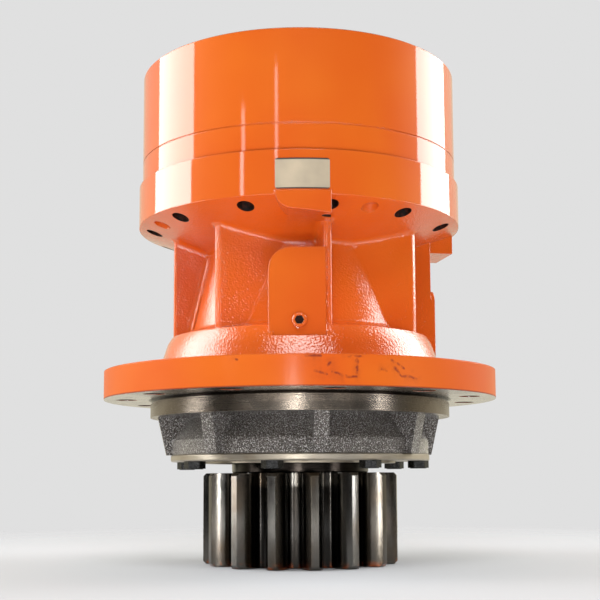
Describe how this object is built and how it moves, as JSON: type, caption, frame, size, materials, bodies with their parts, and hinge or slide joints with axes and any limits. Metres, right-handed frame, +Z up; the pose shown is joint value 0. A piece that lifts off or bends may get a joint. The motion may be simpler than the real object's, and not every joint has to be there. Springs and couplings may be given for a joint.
{
  "type": "excavator swing gearbox",
  "caption": "Upright planetary swing gearbox with a ribbed cast housing, a mounting flange, a motor seat on top and an output pinion below.",
  "frame": {"origin": "centre of the mounting flange's lower face, on the gearbox's axis", "axes": "+Z up the axis towards the motor seat; the pad with the level plug faces -Y"},
  "size_m": [0.418, 0.4178, 0.522],
  "materials": {
    "painted_casting": "gloss paint over a cast surface; bare where the flange seats and below it",
    "painted_drum": "gloss paint over a turned surface",
    "painted_plug": "gloss paint",
    "black_bolt_steel": "blackened",
    "ground_steel": "ground",
    "machined_steel": "turned",
    "bearing_steel": "ground",
    "gear_steel": "cut and hardened, lightly oiled",
    "carrier_iron": "cast and machined",
    "bronze_washer": "smooth",
    "black_rubber": "smooth",
    "bare_plate": "matt"
  },
  "bodies": {
    "gearbox_frame": {"gear_housing": "painted_casting", "ring_gear": "painted_drum", "ring_gear_bolts": "black_bolt_steel", "dowel_pins": "ground_steel", "ring_gear_o_ring": "black_rubber", "data_plate": "bare_plate", "level_plug": "painted_plug", "lower_bearing_cup": "bearing_steel", "upper_bearing_cup": "bearing_steel", "seal_retainer": "machined_steel", "retainer_o_ring": "black_rubber", "retainer_bolts": "black_bolt_steel", "oil_seal": "black_rubber"},
    "output_shaft": {"pinion_shaft": "gear_steel", "seal_sleeve": "ground_steel", "lower_bearing_cone": "bearing_steel", "upper_bearing_cone": "bearing_steel", "nut_lock_washer": "machined_steel", "bearing_nut": "machined_steel", "second_carrier": "carrier_iron", "second_planet_pins": "ground_steel", "second_pin_locks": "machined_steel", "carrier_end_plate": "machined_steel", "end_plate_bolts": "black_bolt_steel", "second_thrust_washers": "bronze_washer"},
    "lower_roller_set": {"lower_bearing_rollers": "bearing_steel"},
    "upper_roller_set": {"upper_bearing_rollers": "bearing_steel"},
    "first_carrier_group": {"first_carrier": "machined_steel", "second_sun": "gear_steel", "first_planet_pins": "ground_steel", "first_pin_circlips": "black_bolt_steel", "first_thrust_washers": "bronze_washer", "sun_thrust_ring": "bronze_washer"},
    "first_sun_gear": {"first_sun": "gear_steel"},
    "second_stage_planet_1": {"second_planet_1": "gear_steel"},
    "second_stage_needles_1": {"second_needles_1": "bearing_steel"},
    "second_stage_planet_2": {"second_planet_2": "gear_steel"},
    "second_stage_needles_2": {"second_needles_2": "bearing_steel"},
    "second_stage_planet_3": {"second_planet_3": "gear_steel"},
    "second_stage_needles_3": {"second_needles_3": "bearing_steel"},
    "second_stage_planet_4": {"second_planet_4": "gear_steel"},
    "second_stage_needles_4": {"second_needles_4": "bearing_steel"},
    "first_stage_planet_1": {"first_planet_1": "gear_steel"},
    "first_stage_needles_1": {"first_needles_1": "bearing_steel"},
    "first_stage_planet_2": {"first_planet_2": "gear_steel"},
    "first_stage_needles_2": {"first_needles_2": "bearing_steel"},
    "first_stage_planet_3": {"first_planet_3": "gear_steel"},
    "first_stage_needles_3": {"first_needles_3": "bearing_steel"}
  },
  "joints": [
    {"name": "pinion_spin", "type": "hinge", "parent": "gearbox_frame", "child": "output_shaft", "pos_m": [0, 0, 0], "axis": [0, 0, 1], "continuous": true},
    {"name": "first_carrier_spin", "type": "hinge", "parent": "gearbox_frame", "child": "first_carrier_group", "pos_m": [0, 0, 0.295], "axis": [0, 0, 1], "continuous": true},
    {"name": "first_sun_spin", "type": "hinge", "parent": "gearbox_frame", "child": "first_sun_gear", "pos_m": [0, 0, 0.318], "axis": [0, 0, 1], "continuous": true},
    {"name": "lower_rollers_spin", "type": "hinge", "parent": "gearbox_frame", "child": "lower_roller_set", "pos_m": [0, 0, -0.02], "axis": [0, 0, 1], "continuous": true},
    {"name": "upper_rollers_spin", "type": "hinge", "parent": "gearbox_frame", "child": "upper_roller_set", "pos_m": [0, 0, 0.15], "axis": [0, 0, 1], "continuous": true},
    {"name": "second_planet_1_spin", "type": "hinge", "parent": "output_shaft", "child": "second_stage_planet_1", "pos_m": [0.085, 0, 0.2487], "axis": [0, 0, 1], "continuous": true},
    {"name": "second_needles_1_spin", "type": "hinge", "parent": "output_shaft", "child": "second_stage_needles_1", "pos_m": [0.085, 0, 0.2487], "axis": [0, 0, 1], "continuous": true},
    {"name": "second_planet_2_spin", "type": "hinge", "parent": "output_shaft", "child": "second_stage_planet_2", "pos_m": [0, 0.085, 0.2487], "axis": [0, 0, 1], "continuous": true},
    {"name": "second_needles_2_spin", "type": "hinge", "parent": "output_shaft", "child": "second_stage_needles_2", "pos_m": [0, 0.085, 0.2487], "axis": [0, 0, 1], "continuous": true},
    {"name": "second_planet_3_spin", "type": "hinge", "parent": "output_shaft", "child": "second_stage_planet_3", "pos_m": [-0.085, 0, 0.2487], "axis": [0, 0, 1], "continuous": true},
    {"name": "second_needles_3_spin", "type": "hinge", "parent": "output_shaft", "child": "second_stage_needles_3", "pos_m": [-0.085, 0, 0.2487], "axis": [0, 0, 1], "continuous": true},
    {"name": "second_planet_4_spin", "type": "hinge", "parent": "output_shaft", "child": "second_stage_planet_4", "pos_m": [0, -0.085, 0.2487], "axis": [0, 0, 1], "continuous": true},
    {"name": "second_needles_4_spin", "type": "hinge", "parent": "output_shaft", "child": "second_stage_needles_4", "pos_m": [0, -0.085, 0.2487], "axis": [0, 0, 1], "continuous": true},
    {"name": "first_planet_1_spin", "type": "hinge", "parent": "first_carrier_group", "child": "first_stage_planet_1", "pos_m": [0.0825, 0, 0.3179], "axis": [0, 0, 1], "continuous": true},
    {"name": "first_needles_1_spin", "type": "hinge", "parent": "first_carrier_group", "child": "first_stage_needles_1", "pos_m": [0.0825, 0, 0.3179], "axis": [0, 0, 1], "continuous": true},
    {"name": "first_planet_2_spin", "type": "hinge", "parent": "first_carrier_group", "child": "first_stage_planet_2", "pos_m": [-0.04125, 0.07145, 0.3179], "axis": [0, 0, 1], "continuous": true},
    {"name": "first_needles_2_spin", "type": "hinge", "parent": "first_carrier_group", "child": "first_stage_needles_2", "pos_m": [-0.04125, 0.07145, 0.3179], "axis": [0, 0, 1], "continuous": true},
    {"name": "first_planet_3_spin", "type": "hinge", "parent": "first_carrier_group", "child": "first_stage_planet_3", "pos_m": [-0.04125, -0.07145, 0.3179], "axis": [0, 0, 1], "continuous": true},
    {"name": "first_needles_3_spin", "type": "hinge", "parent": "first_carrier_group", "child": "first_stage_needles_3", "pos_m": [-0.04125, -0.07145, 0.3179], "axis": [0, 0, 1], "continuous": true}
  ],
  "couplings": [
    {"joint": "first_carrier_spin", "follows": "pinion_spin", "ratio": 4},
    {"joint": "first_sun_spin", "follows": "pinion_spin", "ratio": 17.6},
    {"joint": "lower_rollers_spin", "follows": "pinion_spin", "ratio": 0.44062},
    {"joint": "upper_rollers_spin", "follows": "pinion_spin", "ratio": 0.4375},
    {"joint": "second_planet_1_spin", "follows": "pinion_spin", "ratio": -3},
    {"joint": "second_needles_1_spin", "follows": "pinion_spin", "ratio": -1.664},
    {"joint": "second_planet_2_spin", "follows": "pinion_spin", "ratio": -3},
    {"joint": "second_needles_2_spin", "follows": "pinion_spin", "ratio": -1.664},
    {"joint": "second_planet_3_spin", "follows": "pinion_spin", "ratio": -3},
    {"joint": "second_needles_3_spin", "follows": "pinion_spin", "ratio": -1.664},
    {"joint": "second_planet_4_spin", "follows": "pinion_spin", "ratio": -3},
    {"joint": "second_needles_4_spin", "follows": "pinion_spin", "ratio": -1.664},
    {"joint": "first_planet_1_spin", "follows": "pinion_spin", "ratio": -11.333},
    {"joint": "first_needles_1_spin", "follows": "pinion_spin", "ratio": -6.3256},
    {"joint": "first_planet_2_spin", "follows": "pinion_spin", "ratio": -11.333},
    {"joint": "first_needles_2_spin", "follows": "pinion_spin", "ratio": -6.3256},
    {"joint": "first_planet_3_spin", "follows": "pinion_spin", "ratio": -11.333},
    {"joint": "first_needles_3_spin", "follows": "pinion_spin", "ratio": -6.3256}
  ]
}
